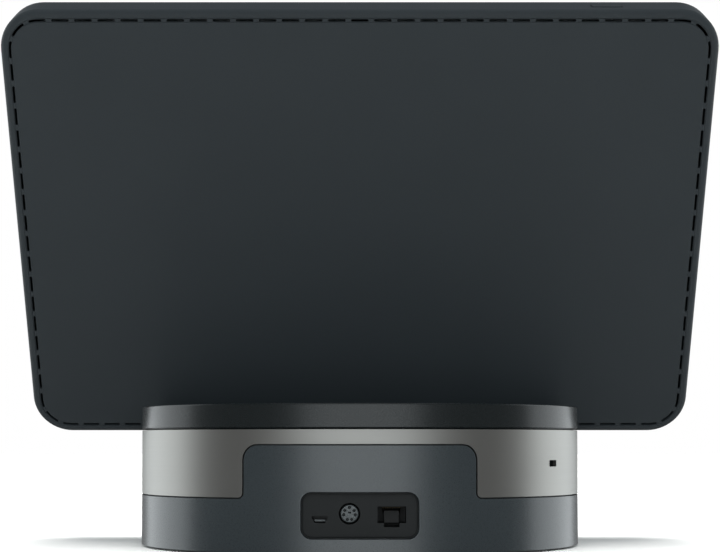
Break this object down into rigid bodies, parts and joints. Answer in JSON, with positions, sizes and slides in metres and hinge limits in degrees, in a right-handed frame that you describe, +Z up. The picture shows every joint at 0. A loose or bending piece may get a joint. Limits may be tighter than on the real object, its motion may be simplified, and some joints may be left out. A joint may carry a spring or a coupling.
{
  "type": "smart display",
  "caption": "Desk smart display: a wide touch screen leaning back on an oval drum base with a metal band, rear socket bay and hidden friction hinge.",
  "frame": {"origin": "on the table under the centre of the base", "axes": "+Z up, the screen looks towards -Y, the sockets are at the +Y side, +X is to the left of a person facing the screen's back"},
  "size_m": [0.3188, 0.18, 0.2441],
  "materials": {
    "casing_plastic": "satin moulded",
    "inner_plastic": "matt moulded",
    "band_metal": "bead-blasted and anodised",
    "cover_glass": "polished glass printed black behind",
    "display_panel": "smooth",
    "steel": "zinc plated",
    "alloy": "rolled sheet",
    "circuit_board": "solder mask",
    "contact_gold": "gold flash",
    "foot_rubber": "matt",
    "speaker_paper": "coated paper",
    "lead_rubber": "matt jacket"
  },
  "bodies": {
    "base": {"lower_housing": "casing_plastic", "top_cap": "casing_plastic", "top_deck": "casing_plastic", "inner_core": "inner_plastic", "base_plate": "inner_plastic", "socket_tray": "inner_plastic", "lan_socket": "inner_plastic", "din_socket": "inner_plastic", "din_core": "inner_plastic", "usb_tongue": "inner_plastic", "speaker_basket_left": "inner_plastic", "speaker_basket_right": "inner_plastic", "speaker_box_left": "inner_plastic", "speaker_box_right": "inner_plastic", "metal_band": "band_metal", "ballast_plate": "steel", "chassis": "steel", "hinge_arm_left": "steel", "hinge_arm_right": "steel", "usb_socket": "steel", "lock_plate": "steel", "speaker_magnet_left": "steel", "speaker_magnet_right": "steel", "base_screw_1": "steel", "base_screw_2": "steel", "base_screw_3": "steel", "base_screw_4": "steel", "arm_screw_1": "steel", "arm_screw_2": "steel", "arm_screw_3": "steel", "arm_screw_4": "steel", "socket_board": "circuit_board", "lan_contacts": "contact_gold", "foot_1": "foot_rubber", "foot_2": "foot_rubber", "foot_3": "foot_rubber", "foot_4": "foot_rubber", "speaker_cone_left": "speaker_paper", "speaker_cone_right": "speaker_paper", "lead_lower": "lead_rubber"},
    "screen": {"screen_frame": "casing_plastic", "back_cover": "casing_plastic", "front_glass": "cover_glass", "lcd_panel": "display_panel", "mid_plate": "alloy", "main_board": "circuit_board", "heat_spreader": "alloy", "antenna_left": "circuit_board", "antenna_right": "circuit_board", "camera_module": "inner_plastic", "camera_lens": "cover_glass", "hinge_bracket_left": "steel", "hinge_bracket_right": "steel", "hinge_pin_left": "steel", "hinge_pin_right": "steel", "power_switch": "inner_plastic", "lead_upper": "lead_rubber"},
    "power_button": {"power_button": "casing_plastic"}
  },
  "joints": [
    {"name": "display_tilt", "type": "hinge", "parent": "base", "child": "screen", "pos_m": [0, -0.0369, 0.0679], "axis": [-1, 0, 0], "range_deg": [-12, 15]},
    {"name": "power_button_press", "type": "slide", "parent": "screen", "child": "power_button", "axis": [0, -0.4602, -0.8878], "range_m": [0, 0.0005], "stiffness_N_per_m": 800, "springref_m": -0.001}
  ]
}
